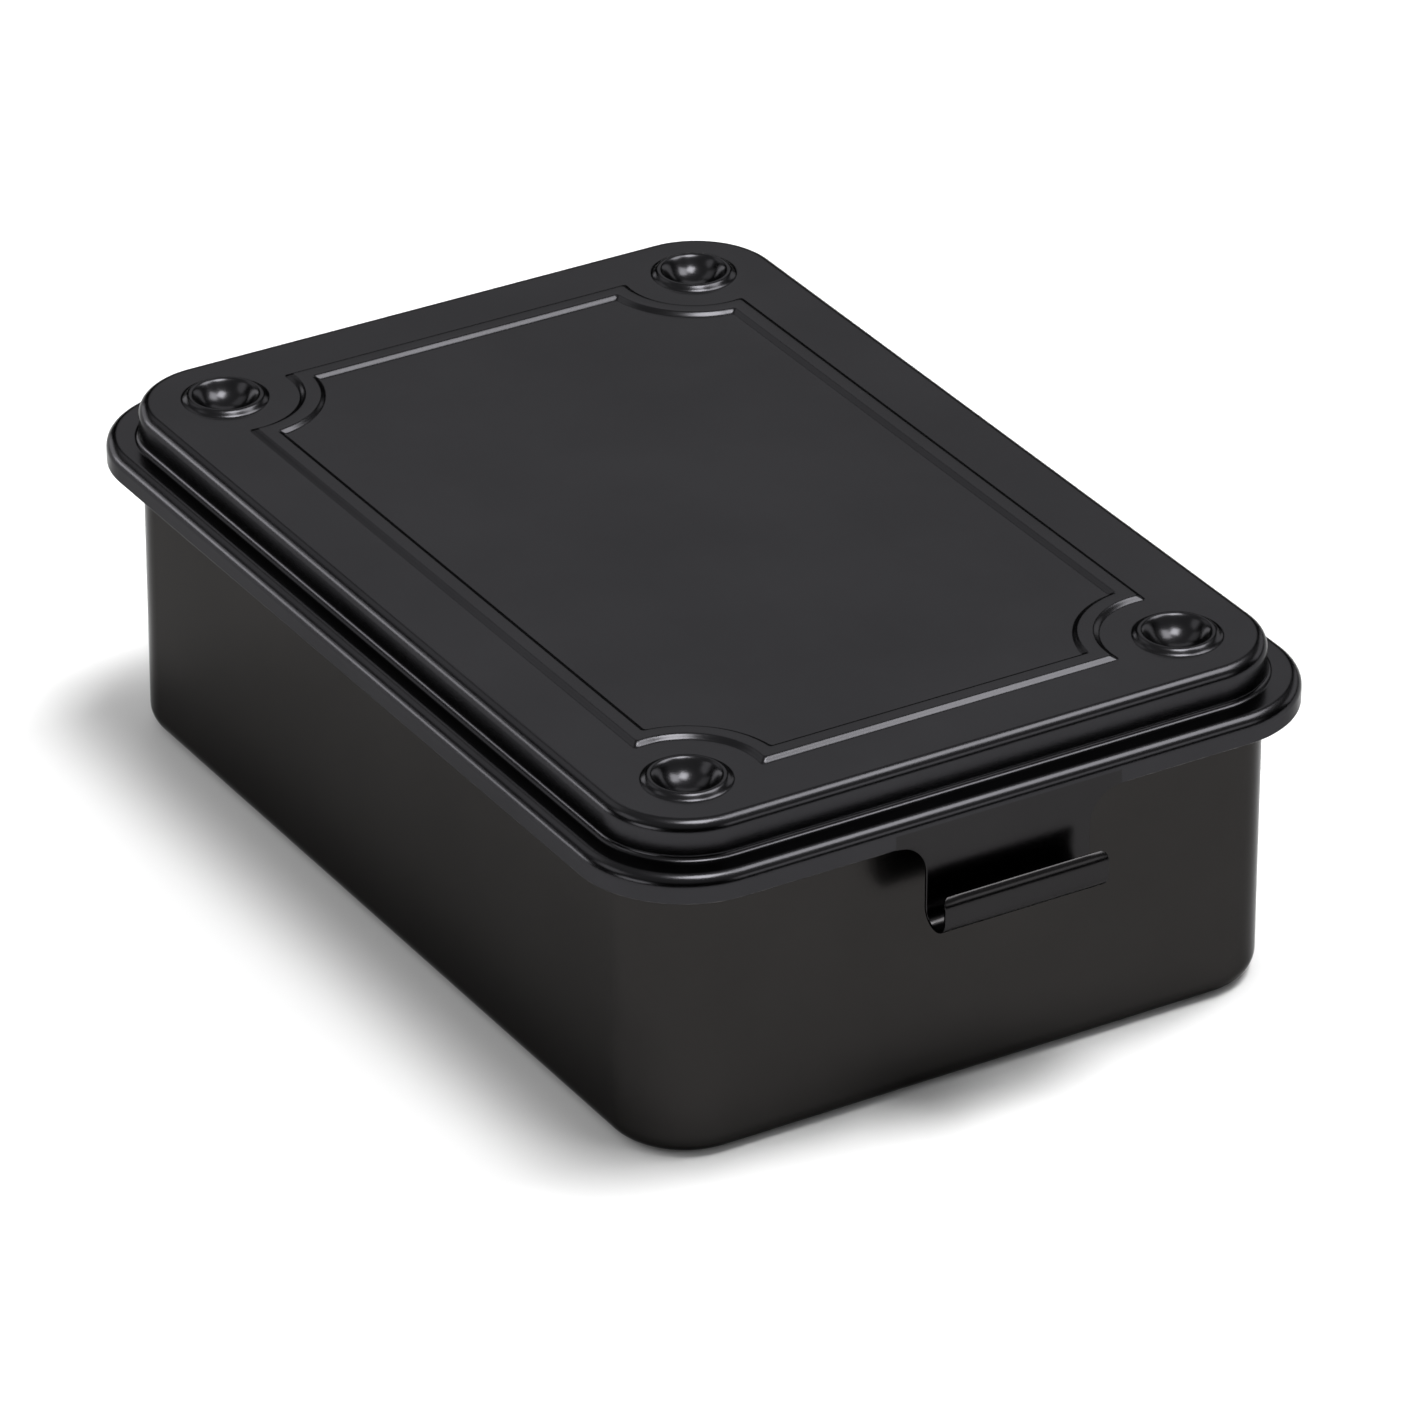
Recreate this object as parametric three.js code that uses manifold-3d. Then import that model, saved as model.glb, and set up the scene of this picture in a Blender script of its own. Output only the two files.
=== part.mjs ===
// Small pressed-steel lunch box: a deep-drawn pan, a lift-off lid with an embossed top, and two
// springy latch tongues that hang from the lid's skirt and end in a curled finger pull.
// Millimetres, +Z up, +X along the long side. The origin is the centre of the underside.

import * as THREE from 'three';
import { mergeVertices } from 'three/addons/utils/BufferGeometryUtils.js';
import Module from 'manifold-3d';

const wasm = await Module();
wasm.setup();

// Driving dimensions
const SHEET = 0.5;             // sheet steel with its paint
const GAP = 0.3;               // clearance between pieces that rest on each other
const PAST = 3;                // how far a cutting solid runs past what it cuts
const CORNER_STEPS = 7;        // facets in each rounded corner
const EDGE_STEPS = 3;          // facets across each rounded edge
const DIMPLE_STEPS = 28;       // facets around each dimple
const BOWL_STEPS = 7;          // facets from a dimple's middle to its crest

const SKIRT_BOTTOM = 40.2;
const BRIM = { length: 152.8, width: 105.6, corner: 15.1, edge: 1.6, top: 43.9 };
const DOME = { length: 144.0, width: 97.6, corner: 12.0, edge: 1.7, top: 49.1 };
const DOME_FOOT = 0.8;         // sloped foot where the dome's wall meets the brim

const PAN = { length: 143.2, width: 96.3, corner: 11.0, edge: 3.0 };
const RIM_LIP = 1.5;           // height of the pan's turned-down rim
const BASE_PANEL = { inset: 8, rise: 0.6 };

const EMBOSS = { x: 60.6, y: 36.75 };      // dimple centres, and the frame's centrelines
const FRAME = { width: 3.8, height: 0.5, slope: 1.0, scoop: 11.8 };
const DIMPLE = { radius: 6.2, crest: 4.8, height: 0.8, dish: -2.3 };

// Shares of the way out and up along a dimple's shoulder (crest to foot) and its bowl (middle to crest)
const SHOULDER = [{ out: 1, up: 0 }, { out: 0.64, up: 0.27 }, { out: 0.36, up: 0.78 }, { out: 0, up: 1 }];
const BOWL = [
  { out: 0, up: 0 }, { out: 0.4, up: 0.08 }, { out: 0.7, up: 0.4 }, { out: 0.85, up: 0.8 }, { out: 1, up: 1 },
];

const TONGUE = { width: 24.6, flare: 4.6, drop: 12.1, curl: 2.6, shift: 1.3 };   // shift is along +Y
const LIP = { height: 1.4, bend: 2.0, turn: 55 * Math.PI / 180 };      // free end, bent inwards

// Sizes that follow from those above
const INNER_TOP = BRIM.top - SHEET;        // underside of the brim
const RIM_TOP = INNER_TOP - GAP;           // the pan's rim carries the lid

const BLACK_PAINT = { color: 0x2f2f31, roughness: 0.38, metalness: 0.3 };

// Turns a closed three.js geometry into a solid that can be joined or cut.
function solid(geometry) {
  geometry.deleteAttribute('normal');
  geometry.deleteAttribute('uv');
  const { index, attributes } = mergeVertices(geometry, 1e-4);
  const triangles = [];
  for (let i = 0; i < index.count; i += 3) {
    const [a, b, c] = index.array.subarray(i, i + 3);
    if (a !== b && b !== c && c !== a) triangles.push(a, b, c);
  }
  return new wasm.Manifold(new wasm.Mesh({
    numProp: 3,
    vertProperties: Float32Array.from(attributes.position.array),
    triVerts: Uint32Array.from(triangles),
  }));
}

// Turns a finished solid into a named, painted mesh.
function piece(name, manifold) {
  const { vertProperties, triVerts } = manifold.getMesh();
  const geometry = new THREE.BufferGeometry();
  geometry.setAttribute('position', new THREE.BufferAttribute(vertProperties, 3));
  geometry.setIndex(new THREE.BufferAttribute(triVerts, 1));
  geometry.computeVertexNormals();
  const mesh = new THREE.Mesh(geometry, new THREE.MeshStandardMaterial(BLACK_PAINT));
  mesh.name = name;
  return mesh;
}

function roundedRectangle({ length, width, corner }) {
  const outline = new THREE.Shape();
  [[1, 1], [-1, 1], [-1, -1], [1, -1]].forEach(([sx, sy], quarter) => {
    const start = quarter * Math.PI / 2;
    const [x, y] = [sx * (length / 2 - corner), sy * (width / 2 - corner)];
    outline.absarc(x, y, corner, start, start + Math.PI / 2);
  });
  return outline;
}

// Slab with a rounded-rectangle outline, both of its edges rounded.
function slab(size, bottom, top, edgeSteps = EDGE_STEPS) {
  const edge = size.edge ?? 0;
  const geometry = new THREE.ExtrudeGeometry(roundedRectangle(size), {
    depth: top - bottom - 2 * edge,
    curveSegments: CORNER_STEPS,
    bevelEnabled: edge > 0,
    bevelThickness: edge,
    bevelSize: edge,
    bevelOffset: -edge,
    bevelSegments: edgeSteps,
  });
  return solid(geometry.translate(0, 0, bottom + edge));
}

// The same outline drawn in by a margin, or let out by a negative one.
function inset(size, margin) {
  return {
    length: size.length - 2 * margin,
    width: size.width - 2 * margin,
    corner: size.corner - margin,
    edge: Math.max((size.edge ?? 0) - margin, 0),
  };
}

// Everything below a height, for trimming a slab's lower edge away.
function everythingBelow(height) {
  const size = 2 * BRIM.length;
  return solid(new THREE.BoxGeometry(size, size, size).translate(0, 0, height - size / 2));
}

// Outline of the embossed frame: a rectangle whose corners scoop inwards around the dimples.
function scoopedRectangle(grow) {
  const radius = FRAME.scoop - grow;
  const lean = Math.asin(grow / radius);
  const outline = new THREE.Shape();
  [[1, 1], [-1, 1], [-1, -1], [1, -1]].forEach(([sx, sy], quarter) => {
    const turn = quarter * Math.PI / 2;
    const [from, to] = [turn - Math.PI / 2 + lean, turn - Math.PI - lean];
    outline.absarc(sx * EMBOSS.x, sy * EMBOSS.y, radius, from, to, true);
  });
  return outline;
}

// Ridge with sloping flanks along that outline; its foot is at height zero.
function frameRidge() {
  const outline = scoopedRectangle(FRAME.width / 2);
  outline.holes.push(scoopedRectangle(-FRAME.width / 2));
  const ridge = new THREE.ExtrudeGeometry(outline, {
    depth: SHEET,
    curveSegments: CORNER_STEPS,
    bevelThickness: FRAME.height,
    bevelSize: FRAME.slope,
    bevelOffset: -FRAME.slope,
    bevelSegments: 1,
  });
  return solid(ridge.translate(0, 0, -SHEET)).subtract(everythingBelow(-SHEET / 2));
}

// Solid of revolution about +Z from a profile that runs from its bottom to its top.
function turned(profile) {
  const points = profile.map(([r, z]) => new THREE.Vector2(r, z));
  return solid(new THREE.LatheGeometry(points, DIMPLE_STEPS).rotateX(Math.PI / 2));
}

// One low round hump for each dimple; its foot is at height zero.
function dimpleHump() {
  const { radius, crest, height } = DIMPLE;
  const shoulder = SHOULDER.map(({ out, up }) => [crest + out * (radius - crest), up * height]);
  return turned([[0, -SHEET / 2], [radius, -SHEET / 2], ...shoulder, [0, height]]);
}

// The space inside a dimple's dish, open upwards.
function dimpleBowl() {
  const { crest, height, dish } = DIMPLE;
  const points = BOWL.map(({ out, up }) => new THREE.Vector2(out * crest, dish + up * (height - dish)));
  const wall = new THREE.SplineCurve(points).getPoints(BOWL_STEPS).map(({ x, y }) => [x, y]);
  return turned([...wall, [crest, height + PAST], [0, height + PAST]]);
}

// Copies of a shape at the four dimples.
function atDimples(shape) {
  const [x, y] = [EMBOSS.x, EMBOSS.y];
  const places = [[x, y, 0], [-x, y, 0], [-x, -y, 0], [x, -y, 0]];
  return wasm.Manifold.union(places.map((place) => shape.translate(place)));
}

// A body's flat top with the frame and the dimples pressed in it, at a given height.
function pressed(body, height) {
  return body
    .add(frameRidge().add(atDimples(dimpleHump())).translate([0, 0, height]))
    .subtract(atDimples(dimpleBowl()).translate([0, 0, height]));
}

function lidCover() {
  const foot = { ...inset(DOME, -DOME_FOOT), edge: DOME_FOOT };
  const outside = slab(BRIM, SKIRT_BOTTOM - PAST, BRIM.top)
    .add(slab(foot, BRIM.top - PAST, BRIM.top + DOME_FOOT, 1))
    .add(slab(DOME, SKIRT_BOTTOM, DOME.top));
  const inside = slab(inset(BRIM, SHEET), SKIRT_BOTTOM - 2 * PAST, INNER_TOP)
    .add(slab(inset(DOME, SHEET), SKIRT_BOTTOM - PAST, DOME.top - SHEET));
  const sheet = pressed(outside, DOME.top).subtract(pressed(inside, DOME.top - SHEET));
  return piece('lid_cover', sheet.subtract(everythingBelow(SKIRT_BOTTOM)));
}

function casePan() {
  const rim = { ...inset(BRIM, SHEET + GAP), edge: BRIM.edge - SHEET };
  const rimShell = slab(rim, RIM_TOP - RIM_LIP - PAST, RIM_TOP)
    .subtract(slab(inset(rim, SHEET), RIM_TOP - RIM_LIP - 2 * PAST, RIM_TOP - SHEET))
    .subtract(everythingBelow(RIM_TOP - RIM_LIP));
  const wall = slab(PAN, 0, RIM_TOP + PAN.edge + PAST).subtract(
    slab(inset(BRIM, -PAST), RIM_TOP - SHEET / 2, RIM_TOP + PAN.edge + 2 * PAST));
  const panel = inset(PAN, BASE_PANEL.inset);
  const inside = slab(inset(PAN, SHEET), SHEET, RIM_TOP + PAN.edge + PAST)
    .subtract(slab({ ...panel, edge: 0 }, 0, SHEET + BASE_PANEL.rise));
  const recess = slab({ ...inset(panel, SHEET), edge: 0 }, -PAST, BASE_PANEL.rise);
  return piece('case_pan', wall.add(rimShell).subtract(inside).subtract(recess));
}

// Cross-section of a tongue: straight down the skirt's plane, curled outwards and up, its end bent in.
function tongueSection() {
  const face = BRIM.length / 2;
  const back = face - SHEET;
  const top = SKIRT_BOTTOM - GAP;
  const [x, z] = [back + TONGUE.curl, SKIRT_BOTTOM - TONGUE.drop + TONGUE.curl];
  const section = new THREE.Shape();
  section.moveTo(face, top);
  section.lineTo(back, top);
  section.absarc(x, z, TONGUE.curl, Math.PI, Math.PI * 2);
  section.absarc(x + TONGUE.curl - LIP.bend, z + LIP.height, LIP.bend, 0, LIP.turn);
  section.absarc(x + TONGUE.curl - LIP.bend, z + LIP.height, LIP.bend - SHEET, LIP.turn, 0, true);
  section.absarc(x, z, TONGUE.curl - SHEET, Math.PI * 2, Math.PI, true);
  section.closePath();
  return section;
}

// Face-on outline of a tongue: it flares out to the skirt through two concave corners.
function tongueOutline() {
  const top = SKIRT_BOTTOM - GAP;
  const bottom = SKIRT_BOTTOM - TONGUE.drop - PAST;
  const [low, high] = [TONGUE.shift - TONGUE.width / 2, TONGUE.shift + TONGUE.width / 2];
  const turn = top - TONGUE.flare;
  const outline = new THREE.Shape();
  outline.moveTo(low, bottom);
  outline.lineTo(high, bottom);
  outline.absarc(high + TONGUE.flare, turn, TONGUE.flare, Math.PI, Math.PI / 2, true);
  outline.lineTo(high + TONGUE.flare, top + PAST);
  outline.lineTo(low - TONGUE.flare, top + PAST);
  outline.absarc(low - TONGUE.flare, turn, TONGUE.flare, Math.PI / 2, 0, true);
  outline.closePath();
  return outline;
}

function latchTongue(name, turn) {
  const span = TONGUE.width + 2 * (TONGUE.flare + TONGUE.shift);
  const sides = { curveSegments: 2 * CORNER_STEPS, bevelEnabled: false };
  const sheet = new THREE.ExtrudeGeometry(tongueSection(), { depth: span + PAST, ...sides });
  sheet.translate(0, 0, -(span + PAST) / 2).rotateX(Math.PI / 2);
  const front = new THREE.ExtrudeGeometry(tongueOutline(), { depth: BRIM.length, ...sides });
  front.rotateX(Math.PI / 2).rotateZ(Math.PI / 2);
  const mesh = piece(name, solid(sheet).intersect(solid(front)));
  mesh.rotation.z = turn;
  return mesh;
}

const lid = new THREE.Group();
lid.add(lidCover(), latchTongue('latch_tongue_front', 0), latchTongue('latch_tongue_rear', Math.PI));

const lunchBox = new THREE.Group();
lunchBox.add(casePan(), lid);

export default lunchBox;
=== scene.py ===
"""Looks of a small pressed-steel lunch box in black enamel: a drawn pan under a lift-off lid.

Shapes are worked out in millimetres in the frame's own axes (+Z up, +X along the long side),
and turned into metres when a mesh is made.
"""

import math

import bmesh
import bpy
import numpy as np
from mathutils import Matrix, Vector
from mathutils.geometry import tessellate_polygon


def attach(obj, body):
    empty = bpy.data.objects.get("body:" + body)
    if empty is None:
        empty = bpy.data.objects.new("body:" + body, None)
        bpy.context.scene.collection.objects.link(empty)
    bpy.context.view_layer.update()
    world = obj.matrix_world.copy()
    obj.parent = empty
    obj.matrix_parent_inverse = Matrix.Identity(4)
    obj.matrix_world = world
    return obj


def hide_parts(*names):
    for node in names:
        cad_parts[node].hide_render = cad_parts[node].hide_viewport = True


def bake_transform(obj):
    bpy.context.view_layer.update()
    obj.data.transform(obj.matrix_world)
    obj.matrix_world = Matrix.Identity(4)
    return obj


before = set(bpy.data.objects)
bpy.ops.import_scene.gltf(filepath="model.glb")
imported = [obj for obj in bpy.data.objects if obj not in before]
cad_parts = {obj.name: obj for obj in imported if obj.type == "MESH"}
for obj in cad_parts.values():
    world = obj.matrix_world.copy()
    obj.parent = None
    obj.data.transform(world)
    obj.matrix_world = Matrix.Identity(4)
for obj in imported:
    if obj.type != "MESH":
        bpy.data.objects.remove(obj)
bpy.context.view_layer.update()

MM = 0.001

# ---------------------------------------------------------------- sizes, in millimetres

SHEET = 0.5                     # painted sheet steel
RAW = 0.15                      # rounding of a cut sheet edge
HOLD = 0.08                     # flat margin that keeps a flat face's shading flat beside a curve

SHARP = 35                      # degrees between faces that count as a crease
CORNER_STEPS = 20
SIDE_POINTS = (30, 0, -30)      # extra points along the long sides
SKIRT_BOTTOM = 40.2
NOTCH_TOP = 42.2                # the tongue's own piece starts here, flush with the skirt

# Outlines are (half length, half width, corner radius) of the sheet's outer face.
BRIM = (76.4, 52.8, 15.1)
BRIM_TOP, BRIM_EDGE = 43.9, 1.64
DOME = (72.0, 48.8, 12.0)
DOME_TOP, DOME_EDGE, DOME_FOOT = 49.1, 1.7, 0.77        # height, and the radii of its bends

PAN = (71.6, 48.15, 11.0)
PAN_EDGE, PAN_THROAT = 3.0, 0.9
RIM_GAP = 0.3                   # clearance between the lid and the pan's rim
RIM_TOP = BRIM_TOP - SHEET - RIM_GAP
RIM_EDGE, RIM_LIP = 0.84, 1.5
PANEL_INSET, PANEL_STEP, PANEL_RISE = 8.0, 1.0, 0.6     # the panel pressed up in the base

EMBOSS = (60.6, 36.75)          # dimple centres and the frame's centrelines
FRAME_HALF, FRAME_FLANK, FRAME_HEIGHT = 1.9, 1.05, 0.5
CROWN_HALF, CROWN_RISE = 0.3, 0.01      # the frame's slightly crowned ridge
SCOOP, SCOOP_CORNER = 11.8, 0.45    # the frame's corner round a dimple, and where it turns in
DIMPLE_FOOT = 6.2
DIMPLE_AROUND, DIMPLE_ACROSS = 72, 62   # steps round a dimple, and from its middle to its foot

TONGUE_HALF, TONGUE_SHIFT, FLARE = 12.3, 1.3, 4.6
CURL, CURL_HEIGHT = 2.55, 30.65         # outer radius, and the height of its centre
LIP, NOSE, NOSE_TURN = 1.4, 2.0, 55     # the curl's straight part, and its inward bend
LIP_CORNER = 1.2
FACE_STEPS = 10                         # steps across the tongue's faces
ROOT_EDGE = 0.002                       # all but square edges where the tongue meets the skirt
FACE = BRIM[0]

# ---------------------------------------------------------------- mesh building

class Shell:
    """Collects points and faces of one sheet-metal piece."""

    def __init__(self):
        self.points = []
        self.faces = []
        self.wear = []

    def add(self, points, wear=0.0):
        """Adds points; wear is how far the paint is rubbed there, from 0 to 1."""
        start = len(self.points)
        self.points.extend(points)
        self.wear.extend([wear] * len(points))
        return list(range(start, len(self.points)))

    def bridge(self, a, b, skip=()):
        """Quads between two closed rows of the same length, leaving out the skipped columns."""
        for i in range(len(a)):
            if i in skip:
                continue
            j = (i + 1) % len(a)
            self.faces.append((a[i], a[j], b[j], b[i]))

    def fill(self, outer, holes=()):
        """Flat face inside one closed row and outside others."""
        loops = [outer, *holes]
        flat = [[Vector((self.points[i][0], self.points[i][1], 0)) for i in row] for row in loops]
        index = [i for row in loops for i in row]
        for a, b, c in tessellate_polygon(flat):
            self.faces.append((index[a], index[b], index[c]))

    def build(self, name, material):
        """Mesh object with smooth shading, and creases only where faces meet at SHARP degrees."""
        mesh = bpy.data.meshes.new(name)
        mesh.from_pydata([[v * MM for v in p] for p in self.points], [], self.faces)
        obj = bpy.data.objects.new(name, mesh)
        bpy.context.scene.collection.objects.link(obj)
        bm = bmesh.new()
        bm.from_mesh(mesh)
        bmesh.ops.recalc_face_normals(bm, faces=bm.faces)
        bm.to_mesh(mesh)
        bm.free()
        mesh.shade_smooth()
        mesh.set_sharp_from_angle(angle=math.radians(SHARP))
        rubbed = mesh.attributes.new("wear", "FLOAT", "POINT")
        rubbed.data.foreach_set("value", self.wear)
        mesh.materials.append(material)
        return obj


def arc(steps, start=0.0, end=90.0):
    """Angles in radians, evenly spread."""
    return [math.radians(start + (end - start) * i / steps) for i in range(steps + 1)]


def rounded_ring(size, inset, z):
    """Rounded rectangle drawn in by inset. Every ring has its points in the same order."""
    a, b, r = size[0] - inset, size[1] - inset, size[2] - inset
    notch = TONGUE_HALF + FLARE
    ring = []
    for quarter, (sx, sy) in enumerate(((1, 1), (-1, 1), (-1, -1), (1, -1))):
        if quarter in (0, 2):
            ring += [(sx * a, sx * (TONGUE_SHIFT + side * notch), z) for side in (-1, 1)]
        else:
            ring += [(-sx * x, sy * b, z) for x in SIDE_POINTS]
        for t in arc(CORNER_STEPS, 90 * quarter, 90 * quarter + 90):
            ring.append((sx * (a - r) + r * math.cos(t), sy * (b - r) + r * math.sin(t), z))
    return ring


# The first of the two points in a ring that stand at the sides of a tongue.
FRONT_NOTCH = 0
REAR_NOTCH = 2 + (CORNER_STEPS + 1) + len(SIDE_POINTS) + (CORNER_STEPS + 1)


# ---------------------------------------------------------------- pressed pattern on the lid

def scooped_ring(grow, z):
    """Frame outline whose corners scoop in around the dimples, let out by grow."""
    radius = SCOOP - grow
    rise = SCOOP_CORNER - grow
    run = math.sqrt((radius + SCOOP_CORNER) ** 2 - rise ** 2)
    lean = math.asin(rise / (radius + SCOOP_CORNER))
    quarter = []
    turn_steps = 5
    for t in arc(turn_steps, 270, 180 + math.degrees(lean)):
        quarter.append((run + SCOOP_CORNER * math.cos(t), rise + SCOOP_CORNER * math.sin(t)))
    for t in arc(18, math.degrees(lean), 90 - math.degrees(lean))[1:]:
        quarter.append((radius * math.cos(t), radius * math.sin(t)))
    for p, q in quarter[turn_steps - 1::-1]:
        quarter.append((q, p))
    ring = []
    for sx, sy in ((1, 1), (-1, 1), (-1, -1), (1, -1)):
        order = quarter[::-1] if sx * sy > 0 else quarter
        ring += [(sx * (EMBOSS[0] - p), sy * (EMBOSS[1] - q), z) for p, q in order]
    return ring


def frame_profile():
    """(offset, height) across the raised frame, from its inner foot to its outer foot."""
    flank = []
    for u in np.linspace(0, 1, 11):
        flank.append((-FRAME_HALF + FRAME_FLANK * u, FRAME_HEIGHT * u * u * (3 - 2 * u)))
    crown = FRAME_HEIGHT + CROWN_RISE
    ridge = [(-CROWN_HALF, crown), (CROWN_HALF, crown)]
    return flank + ridge + [(-g, z) for g, z in flank[::-1]]


def dimple_profile():
    """(radius, height) from the middle of a dimple to its foot.

    Listed as (radius, slope); the slopes are smoothed, then added up to heights.
    """
    bowl = [(0, 0), (1.0, 0.18), (2.0, 0.39), (3.0, 0.72), (3.6, 1.08), (4.0, 1.2), (4.3, 0.95)]
    crest = [(4.6, 0.4), (4.8, 0), (5.05, -0.32), (5.3, -0.68)]
    flank = [(5.5, -1.12), (5.65, -1.08), (5.85, -0.54), (6.05, -0.14), (DIMPLE_FOOT, 0)]
    radii, slopes = zip(*bowl, *crest, *flank)
    r = np.linspace(0, DIMPLE_FOOT, DIMPLE_ACROSS + 1)
    slope = np.interp(r, radii, slopes)
    kernel = np.array([1, 2, 3, 2, 1]) / 9
    margin = len(kernel) // 2
    slope[margin:-margin] = np.convolve(slope, kernel, "valid")
    height = np.concatenate([[0], np.cumsum((slope[1:] + slope[:-1]) / 2 * np.diff(r))])
    height -= height[-1]
    return list(zip(r[::2], height[::2]))


def pressed_plate(shell, boundary, z):
    """Fills the lid's top inside a boundary row, with the frame and dimples pressed in it."""
    rows = [shell.add(scooped_ring(-FRAME_HALF - HOLD, z))]
    for grow, height in frame_profile():
        rows.append(shell.add(scooped_ring(grow, z + height)))
    rows.append(shell.add(scooped_ring(FRAME_HALF + HOLD, z)))
    for a, b in zip(rows, rows[1:]):
        shell.bridge(a, b)
    shell.fill(rows[0])
    holes = [rows[-1]]
    around = [math.tau * i / DIMPLE_AROUND for i in range(DIMPLE_AROUND)]
    profile = dimple_profile()
    for cx, cy in [(sx * EMBOSS[0], sy * EMBOSS[1]) for sx in (1, -1) for sy in (1, -1)]:
        middle = shell.add([(cx, cy, z + profile[0][1])])[0]
        previous = None
        for r, height in profile[1:] + [(DIMPLE_FOOT + HOLD, 0)]:
            circle = [(cx + r * math.cos(t), cy + r * math.sin(t), z + height) for t in around]
            row = shell.add(circle)
            if previous is None:
                for i in range(len(row)):
                    shell.faces.append((middle, row[i], row[(i + 1) % len(row)]))
            else:
                shell.bridge(previous, row)
            previous = row
        holes.append(previous)
    shell.fill(boundary, holes)


# ---------------------------------------------------------------- the lid

def lid_rows():
    """Rings from the edge of the top, down the outside, round the cut edge and back inside."""
    rows = [(DOME, DOME_EDGE + HOLD, DOME_TOP)]
    for t in arc(12):
        rows.append((DOME, DOME_EDGE * (1 - math.sin(t)), DOME_TOP - DOME_EDGE * (1 - math.cos(t))))
    rows.append((DOME, 0, DOME_TOP - DOME_EDGE - HOLD))
    rows.append((DOME, 0, BRIM_TOP + DOME_FOOT + HOLD))
    for t in arc(8, 90, 0):
        rows.append((DOME, -DOME_FOOT * (1 - math.sin(t)), BRIM_TOP + DOME_FOOT * (1 - math.cos(t))))
    rows.append((DOME, -DOME_FOOT - HOLD, BRIM_TOP))
    rows.append((BRIM, BRIM_EDGE + HOLD, BRIM_TOP))
    for t in arc(12):
        rows.append((BRIM, BRIM_EDGE * (1 - math.sin(t)), BRIM_TOP - BRIM_EDGE * (1 - math.cos(t))))
    rows.append((BRIM, 0, NOTCH_TOP))
    rows += raw_edge(BRIM, 0, SHEET, SKIRT_BOTTOM)
    rows.append((BRIM, SHEET, NOTCH_TOP))
    edge, top = BRIM_EDGE - SHEET, BRIM_TOP - SHEET
    for t in arc(6, 90, 0):
        rows.append((BRIM, SHEET + edge * (1 - math.sin(t)), top - edge * (1 - math.cos(t))))
    foot = DOME_FOOT + SHEET
    rows.append((DOME, -DOME_FOOT - HOLD, top))
    for t in arc(6, 0, 90):
        rows.append((DOME, SHEET - foot * (1 - math.sin(t)), top + foot * (1 - math.cos(t))))
    edge, top = DOME_EDGE - SHEET, DOME_TOP - SHEET
    for t in arc(6, 90, 0):
        rows.append((DOME, SHEET + edge * (1 - math.sin(t)), top - edge * (1 - math.cos(t))))
    rows.append((DOME, DOME_EDGE + HOLD, top))
    return rows


def raw_edge(size, outer, inner, z):
    """Rings round the cut lower edge of a sheet, from its outer face to its inner face."""
    rows = [(size, outer, z + RAW + HOLD)]
    for t in arc(3):
        rows.append((size, outer + RAW * (1 - math.cos(t)), z + RAW * (1 - math.sin(t))))
    for t in arc(3, 90, 0):
        rows.append((size, inner - RAW * (1 - math.cos(t)), z + RAW * (1 - math.sin(t))))
    rows.append((size, inner, z + RAW + HOLD))
    return rows


def make_lid(material):
    """The lid's sheet, notched at both ends where a tongue takes over from the skirt."""
    shell = Shell()
    plan = lid_rows()
    rows = [shell.add(rounded_ring(*row), float(row[2] < SKIRT_BOTTOM + RAW)) for row in plan]
    cut = [i for i, row in enumerate(plan) if row[0] is BRIM and row[2] <= NOTCH_TOP]
    for i in range(len(rows) - 1):
        inside = cut[0] <= i and i + 1 <= cut[-1]
        shell.bridge(rows[i], rows[i + 1], skip=(FRONT_NOTCH, REAR_NOTCH) if inside else ())
    for column in (FRONT_NOTCH, REAR_NOTCH):
        first, last = rows[cut[0]], rows[cut[-1]]
        shell.faces.append((first[column], first[column + 1], last[column + 1], last[column]))
        for side in (column, column + 1):
            shell.faces.append(tuple(rows[i][side] for i in cut))
    pressed_plate(shell, rows[0], DOME_TOP)
    pressed_plate(shell, rows[-1], DOME_TOP - SHEET)
    return shell.build("lid_shell", material)


# ---------------------------------------------------------------- the pan

def step_rows(first, last, low, high):
    """Rings across the smooth step round the panel in the pan's base."""
    rows = []
    for u in np.linspace(0, 1, 8):
        rows.append((PAN, first + (last - first) * u, low + (high - low) * u * u * (3 - 2 * u)))
    return rows


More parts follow.
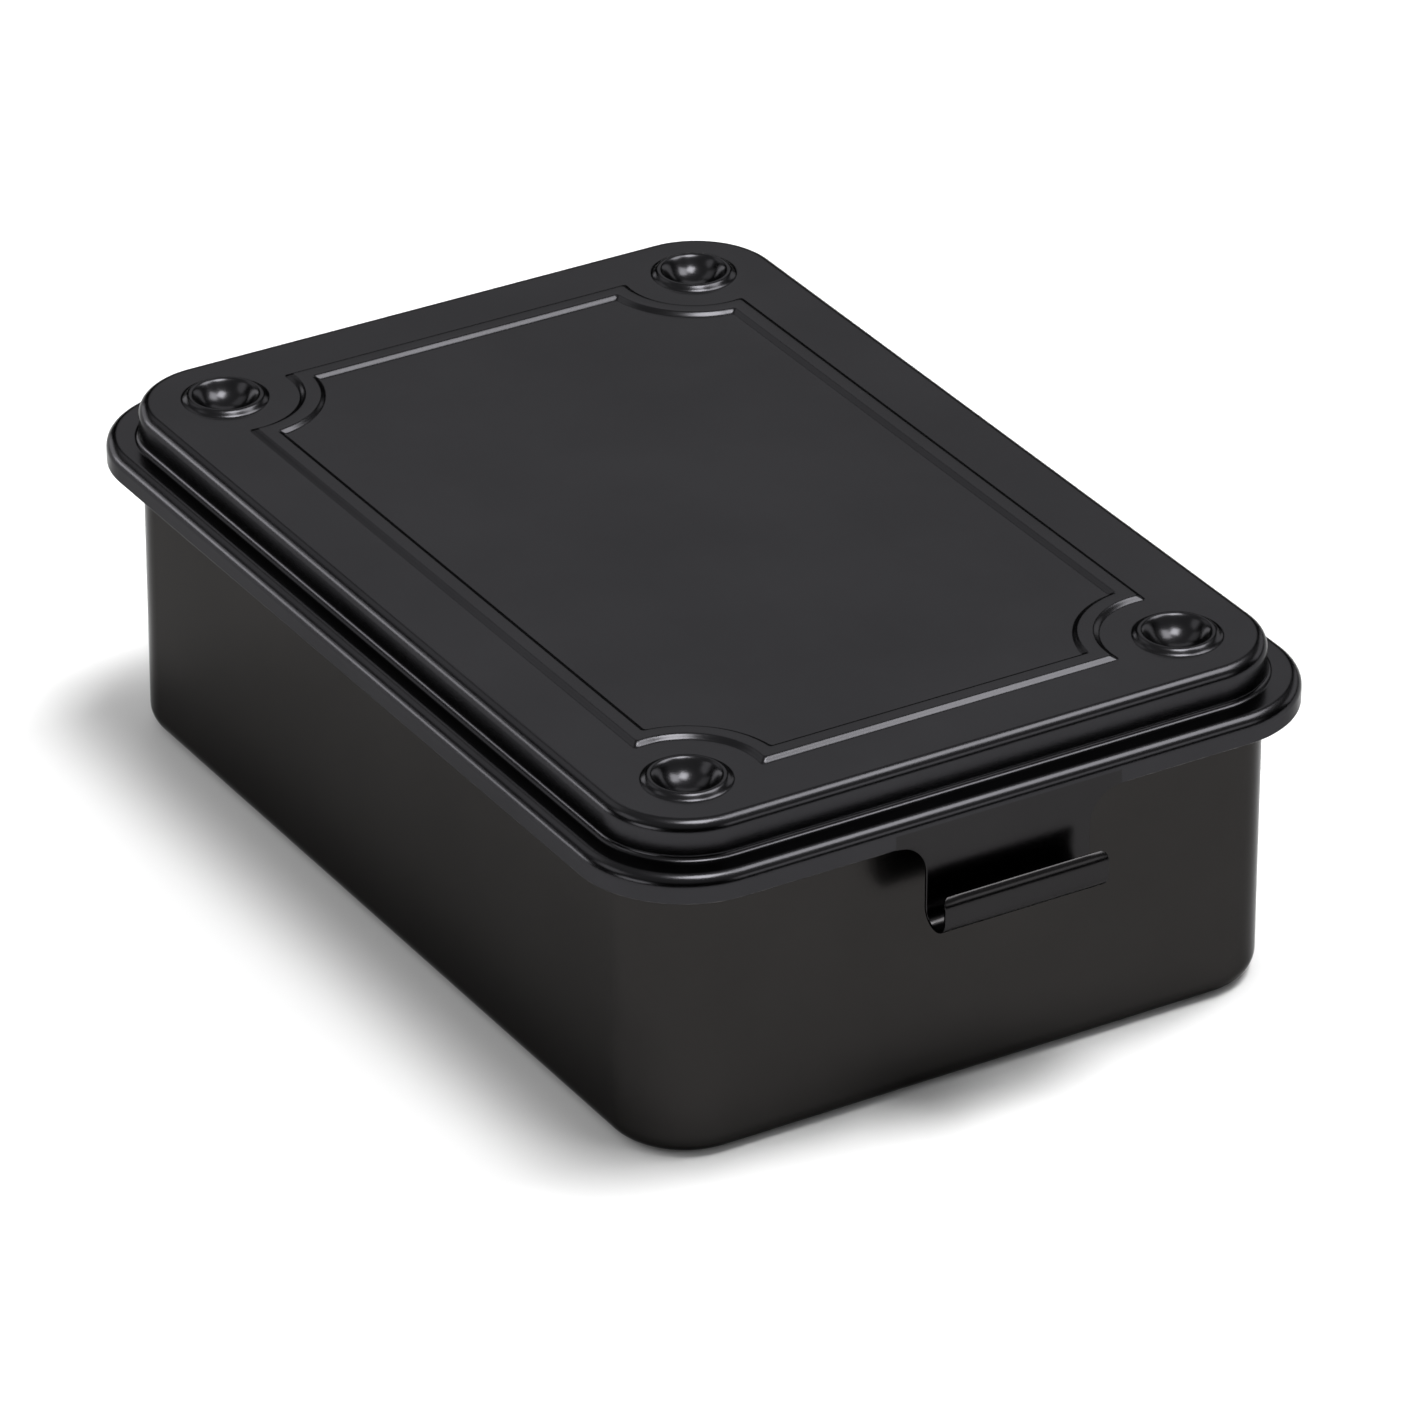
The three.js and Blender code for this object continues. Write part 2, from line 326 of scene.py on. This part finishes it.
def pan_rows():
    """Rings from the panel under the base, up the outside, over the rim and down inside."""
    panel = PANEL_INSET + PANEL_STEP
    rows = [(PAN, panel + HOLD, PANEL_RISE)]
    rows += step_rows(panel, PANEL_INSET, PANEL_RISE, 0)
    rows += [(PAN, PANEL_INSET - HOLD, 0), (PAN, PAN_EDGE + HOLD, 0)]
    for t in arc(12, 0, 90):
        rows.append((PAN, PAN_EDGE * (1 - math.sin(t)), PAN_EDGE * (1 - math.cos(t))))
    under = RIM_TOP - SHEET
    rows += [(PAN, 0, PAN_EDGE + HOLD), (PAN, 0, under - PAN_THROAT - HOLD)]
    for t in arc(6, 90, 0):
        rows.append((PAN, -PAN_THROAT * (1 - math.sin(t)), under - PAN_THROAT * (1 - math.cos(t))))
    outer = SHEET + RIM_GAP
    inner, roll = outer + SHEET, RIM_EDGE - SHEET
    for t in arc(4):
        rows.append((BRIM, inner + roll * (1 - math.sin(t)), under - roll * (1 - math.cos(t))))
    rows += raw_edge(BRIM, outer, inner, RIM_TOP - RIM_LIP)[::-1]
    for t in arc(6, 90, 0):
        rows.append((BRIM, outer + RIM_EDGE * (1 - math.sin(t)), RIM_TOP - RIM_EDGE * (1 - math.cos(t))))
    mouth = PAN_THROAT + SHEET
    for t in arc(8, 0, 90):
        rows.append((PAN, SHEET - mouth * (1 - math.sin(t)), RIM_TOP - mouth * (1 - math.cos(t))))
    bend = PAN_EDGE - SHEET
    rows += [(PAN, SHEET, RIM_TOP - mouth - HOLD), (PAN, SHEET, PAN_EDGE + HOLD)]
    for t in arc(12, 90, 0):
        rows.append((PAN, SHEET + bend * (1 - math.sin(t)), SHEET + bend * (1 - math.cos(t))))
    rows += [(PAN, PAN_EDGE + HOLD, SHEET), (PAN, PANEL_INSET - SHEET - HOLD, SHEET)]
    rows += step_rows(PANEL_INSET - SHEET, panel - SHEET, SHEET, SHEET + PANEL_RISE)
    rows.append((PAN, panel - SHEET + HOLD, SHEET + PANEL_RISE))
    return rows


def make_pan(material):
    """The pan's sheet; the rim's cut edge is rubbed."""
    shell = Shell()
    rows = []
    for row in pan_rows():
        cut_edge = row[0] is BRIM and row[2] < RIM_TOP - RIM_LIP + RAW
        rows.append(shell.add(rounded_ring(*row), float(cut_edge)))
    for a, b in zip(rows, rows[1:]):
        shell.bridge(a, b)
    shell.fill(rows[0])
    shell.fill(rows[-1])
    return shell.build("pan_shell", material)


# ---------------------------------------------------------------- the latch tongues

def tongue_path():
    """(x, z, direction of the front face, half width) down the sheet, round the curl, up the lip."""
    stations = [(FACE, NOTCH_TOP, 180, TONGUE_HALF + FLARE)]
    stations.append((FACE, SKIRT_BOTTOM, 180, TONGUE_HALF + FLARE))
    for t in arc(14, 86, 0):
        drop = FLARE * (1 - math.sin(t))
        stations.append((FACE, SKIRT_BOTTOM - drop, 180, TONGUE_HALF + FLARE * (1 - math.cos(t))))
    stations.append((FACE, (SKIRT_BOTTOM - FLARE + CURL_HEIGHT) / 2, 180, TONGUE_HALF))
    inner = CURL - SHEET
    centre = FACE - SHEET + CURL
    for t in arc(28, 180, 360):
        x, z = centre + inner * math.cos(t), CURL_HEIGHT + inner * math.sin(t)
        stations.append((x, z, math.degrees(t), TONGUE_HALF))
    stations.append((centre + inner, CURL_HEIGHT + LIP / 2, 360, TONGUE_HALF))
    roll = NOSE - SHEET
    for t in arc(14, 0, NOSE_TURN):
        x = centre + inner - roll * (1 - math.cos(t))
        z = CURL_HEIGHT + LIP + roll * math.sin(t)
        short = max(LIP_CORNER - RAW - NOSE * (math.radians(NOSE_TURN) - t), 0)
        half = TONGUE_HALF - LIP_CORNER + math.sqrt(LIP_CORNER ** 2 - short ** 2)
        stations.append((x, z, 360 + math.degrees(t), half))
    return stations


def make_tongue(name, side, material):
    """One sheet, lofted as a flat tube with rounded edges along its path."""
    shell = Shell()
    rows = []

    def section(x, z, turn, half, raw, shrink=0.0, lift=0.0):
        """Closed row round the sheet; shrink rounds the very end, lift moves it on."""
        t = math.radians(turn)
        out = (-math.cos(t), -math.sin(t))
        along = (math.sin(-t), math.cos(t))
        row = []

        def place(y, n):
            px = x + out[0] * n + along[0] * lift
            pz = z + out[1] * n + along[1] * lift
            row.append((side * px, side * (y + TONGUE_SHIFT), pz))

        front, back = -raw, raw - SHEET
        for corner, (sy, level) in enumerate(((1, front), (1, back), (-1, back), (-1, front))):
            for a in arc(4, 90 - 90 * corner, -90 * corner):
                y = sy * (half - raw) + (raw - shrink) * math.cos(a)
                place(y, level + (raw - shrink) * math.sin(a))
            if corner in (1, 3):
                n = (shrink - SHEET) if corner == 1 else -shrink
                for k in range(1, FACE_STEPS):
                    place(sy * (half - raw) * (1 - 2 * k / FACE_STEPS), n)
        return row

    stations = tongue_path()
    for x, z, turn, half in stations:
        raw = RAW if z < SKIRT_BOTTOM else ROOT_EDGE
        rows.append(shell.add(section(x, z, turn, half, raw)))
    x, z, turn, half = stations[-1]
    for t in arc(3, 30, 90):
        shrink, lift = RAW * (1 - math.cos(t)), RAW * math.sin(t)
        rows.append(shell.add(section(x, z, turn, half, RAW, shrink, lift), 1.0))
    for a, b in zip(rows, rows[1:]):
        shell.bridge(a, b)
    shell.faces.append(tuple(rows[0]))
    shell.faces.append(tuple(rows[-1]))
    return shell.build(name, material)


# ---------------------------------------------------------------- materials

BARE_STEEL = (0.16, 0.155, 0.15)
EDGE_TINT = 0.54                # keeps the paint from brightening too much at grazing angles

# Noises are (scale per metre, detail, roughness), then how far each one moves the paint.
CLOUDS, CLOUD_DARK, CLOUD_LIGHT = (38, 4, 0.55), 0.95, 1.06
DUST, DUST_AMOUNT, DUST_LIGHT = (900, 2, 0.6), 0.4, 1.5
RUBS, RUB_LEAST, RUB_MOST = (420, 3, 0.6), 0.1, 0.8
SMEARS, SMEAR_SMOOTH, SMEAR_ROUGH = (55, 4, 0.6), 0.93, 1.08
SMEAR_STRETCH = (1.0, 1.6, 1.0)
PEEL, PEEL_STRENGTH, PEEL_DEPTH = (1300, 2, 0.5), 0.1, 0.00003      # depths in metres
WAVES, WAVE_STRENGTH, WAVE_DEPTH = (24, 1, 0.4), 0.06, 0.0002


def enamel(name, colour, roughness, seed):
    """Satin gunmetal enamel: faint cloudiness, fine orange peel, dust and rubbed cut edges."""
    material = bpy.data.materials.new(name)
    material.use_nodes = True
    nodes, links = material.node_tree.nodes, material.node_tree.links
    shader = nodes["Principled BSDF"]
    place = nodes.new("ShaderNodeTexCoord")

    def noise(scale, detail, rough, stretch=None):
        """Noise on the object's own coordinates, its own for each seed."""
        texture = nodes.new("ShaderNodeTexNoise")
        texture.noise_dimensions = "4D"
        texture.inputs["W"].default_value = seed
        texture.inputs["Scale"].default_value = scale
        texture.inputs["Detail"].default_value = detail
        texture.inputs["Roughness"].default_value = rough
        source = place.outputs["Object"]
        if stretch:
            mapping = nodes.new("ShaderNodeMapping")
            mapping.inputs["Scale"].default_value = stretch
            links.new(source, mapping.inputs["Vector"])
            source = mapping.outputs["Vector"]
        links.new(source, texture.inputs["Vector"])
        return texture.outputs["Fac"]

    def spread(value, low, high, to_low, to_high):
        """Maps low..high to to_low..to_high, clamped."""
        node = nodes.new("ShaderNodeMapRange")
        node.inputs["From Min"].default_value = low
        node.inputs["From Max"].default_value = high
        node.inputs["To Min"].default_value = to_low
        node.inputs["To Max"].default_value = to_high
        links.new(value, node.inputs["Value"])
        return node.outputs["Result"]

    def mix(fac, a, b):
        """Colour mix; a and b are colours or sockets."""
        node = nodes.new("ShaderNodeMix")
        node.data_type = "RGBA"
        links.new(fac, node.inputs["Factor"])
        for socket, value in (("A", a), ("B", b)):
            target = [s for s in node.inputs if s.name == socket and s.type == "RGBA"][0]
            if isinstance(value, tuple):
                target.default_value = (*value, 1)
            else:
                links.new(value, target)
        return [s for s in node.outputs if s.type == "RGBA"][0]

    def tinted(factor):
        return tuple(c * factor for c in colour)

    def bump(height, strength, distance):
        node = nodes.new("ShaderNodeBump")
        node.inputs["Strength"].default_value = strength
        node.inputs["Distance"].default_value = distance
        links.new(height, node.inputs["Height"])
        return node

    clouds = spread(noise(*CLOUDS), 0.35, 0.65, 0, 1)
    dust = spread(noise(*DUST), 0.71, 0.80, 0, DUST_AMOUNT)
    cloudy = mix(clouds, tinted(CLOUD_DARK), tinted(CLOUD_LIGHT))
    painted = mix(dust, cloudy, tinted(DUST_LIGHT))

    rubbed = nodes.new("ShaderNodeAttribute")
    rubbed.attribute_name = "wear"
    patchy = nodes.new("ShaderNodeMath")
    patchy.operation = "MULTIPLY"
    links.new(rubbed.outputs["Fac"], patchy.inputs[0])
    patches = spread(noise(*RUBS), 0.42, 0.62, RUB_LEAST, RUB_MOST)
    links.new(patches, patchy.inputs[1])
    links.new(mix(patchy.outputs["Value"], painted, BARE_STEEL), shader.inputs["Base Color"])

    smudges = noise(*SMEARS, SMEAR_STRETCH)
    smear = spread(smudges, 0.3, 0.7, roughness * SMEAR_SMOOTH, roughness * SMEAR_ROUGH)
    links.new(smear, shader.inputs["Roughness"])

    peel = bump(noise(*PEEL), PEEL_STRENGTH, PEEL_DEPTH)
    wave = bump(noise(*WAVES), WAVE_STRENGTH, WAVE_DEPTH)
    links.new(wave.outputs["Normal"], peel.inputs["Normal"])
    links.new(peel.outputs["Normal"], shader.inputs["Normal"])

    shader.inputs["Metallic"].default_value = 1.0
    shader.inputs["Specular Tint"].default_value = (EDGE_TINT, EDGE_TINT, EDGE_TINT, 1)
    return material


# name, colour, roughness, seed
lid_paint = enamel("lid_enamel", (0.0276, 0.0272, 0.0293), 0.23, 1.0)
# The pan's enamel is a darker copy of the lid's: painted shade for the dimmer, shadowed floor its walls
# reflect.
pan_paint_shaded = enamel("pan_enamel", (0.0225, 0.0213, 0.0206), 0.22, 2.0)
# The tongues' enamel is the lid's paint made darker: painted shade on the tongues.
tongue_paint_shaded = enamel("tongue_enamel", (0.0215, 0.0208, 0.0214), 0.21, 1.0)

lid = make_lid(lid_paint)
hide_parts("lid_cover")
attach(lid, "lid")

pan = make_pan(pan_paint_shaded)
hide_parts("case_pan")
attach(pan, "pan")

for name, side in (("front", 1), ("rear", -1)):
    tongue = make_tongue(f"tongue_{name}_sheet", side, tongue_paint_shaded)
    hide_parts(f"latch_tongue_{name}")
    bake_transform(tongue)


# ---------------------------------------------------------------- floor, light, camera

FLOOR, FLOOR_GREY = 3.0, 0.86   # half its side, in metres, and how pale it is
floor_mesh = bpy.data.meshes.new("floor")
floor_corners = [(sx * FLOOR, sy * FLOOR, 0) for sx, sy in ((-1, -1), (1, -1), (1, 1), (-1, 1))]
floor_mesh.from_pydata(floor_corners, [], [(0, 1, 2, 3)])
floor = bpy.data.objects.new("floor", floor_mesh)
bpy.context.scene.collection.objects.link(floor)
pale = bpy.data.materials.new("floor_pale")
pale.use_nodes = True
pale_shader = pale.node_tree.nodes["Principled BSDF"]
pale_shader.inputs["Base Color"].default_value = (FLOOR_GREY, FLOOR_GREY, FLOOR_GREY, 1)
pale_shader.inputs["Roughness"].default_value = 0.9
pale_shader.inputs["Specular IOR Level"].default_value = 0.0
floor_mesh.materials.append(pale)


LIGHT_DISTANCE = 1.2            # metres from the point the lights face, in the box's middle
LIGHT_AIM = Vector((0, 0, 0.03))


def softbox(name, azimuth, elevation, width, height, power):
    """Area light that faces the box from an azimuth (from +X towards +Y) and elevation."""
    a, e = math.radians(azimuth), math.radians(elevation)
    direction = Vector((math.cos(e) * math.cos(a), math.cos(e) * math.sin(a), math.sin(e)))
    lamp = bpy.data.lights.new(name, "AREA")
    lamp.shape = "RECTANGLE"
    lamp.size, lamp.size_y = width, height
    lamp.energy = power
    obj = bpy.data.objects.new(name, lamp)
    obj.location = direction * LIGHT_DISTANCE + LIGHT_AIM
    obj.rotation_euler = direction.to_track_quat("Z", "Y").to_euler()
    bpy.context.scene.collection.objects.link(obj)


# name, azimuth, elevation, width, height, watts
softbox("overhead", 40, 81, 0.5, 0.4, 12.5)
softbox("back_up", 82, 59, 0.6, 0.4, 7.5)
softbox("right_low", 29, 24, 0.5, 0.3, 1.1)
softbox("left_low", 200, 10, 0.8, 0.4, 4.2)
softbox("left_level", 221, 6, 0.6, 0.2, 3.0)
softbox("near_left_up", -110, 40, 0.5, 0.4, 1.0)
softbox("near_level", -75, 14, 0.6, 0.3, 2.1)
softbox("back_left_low", 149, 30, 0.7, 0.5, 1.6)
softbox("left_up", 195, 42, 0.6, 0.5, 0.8)
softbox("back_low", 100, 16, 0.9, 0.4, 2.2)

# The room is dark up to a height and glows above it; heights are the sine of the elevation.
DARK_BELOW, GLOWING_ABOVE, GLOW = 0.45, 0.7, 0.4
world = bpy.data.worlds.new("studio")
world.use_nodes = True
bpy.context.scene.world = world
nodes, links = world.node_tree.nodes, world.node_tree.links
ceiling = nodes.new("ShaderNodeMapRange")
ceiling.interpolation_type = "SMOOTHSTEP"
ceiling.inputs["From Min"].default_value = DARK_BELOW
ceiling.inputs["From Max"].default_value = GLOWING_ABOVE
direction = nodes.new("ShaderNodeTexCoord")
height = nodes.new("ShaderNodeSeparateXYZ")
links.new(direction.outputs["Generated"], height.inputs["Vector"])
links.new(height.outputs["Z"], ceiling.inputs["Value"])
links.new(ceiling.outputs["Result"], nodes["Background"].inputs["Color"])
nodes["Background"].inputs["Strength"].default_value = GLOW

# Degrees and metres; the azimuth is from -Y towards +X. The camera looks at a point AIM to the
# right of the box's middle and above the floor.
AZIMUTH, ELEVATION, DISTANCE = 59.0, 29.083, 1.28731
ROLL = 0.0913
AIM = (0.002145, 0.020037)
LENS, SENSOR = 246.2127, 36.0   # millimetres
NEAREST = 0.05

a, e = math.radians(AZIMUTH), math.radians(ELEVATION)
toward = Vector((math.sin(a) * math.cos(e), -math.cos(a) * math.cos(e), math.sin(e)))
target = Vector((AIM[0] * math.cos(a), AIM[0] * math.sin(a), AIM[1]))
camera_data = bpy.data.cameras.new("camera")
camera_data.sensor_width = SENSOR
camera_data.lens = LENS
camera_data.clip_start = NEAREST
camera = bpy.data.objects.new("camera", camera_data)
camera.location = target + toward * DISTANCE
look = toward.to_track_quat("Z", "Y").to_matrix().to_4x4()
look = look @ Matrix.Rotation(math.radians(ROLL), 4, "Z")
camera.rotation_euler = look.to_euler()
bpy.context.scene.collection.objects.link(camera)
bpy.context.scene.camera = camera
bpy.context.scene.view_settings.view_transform = "Standard"
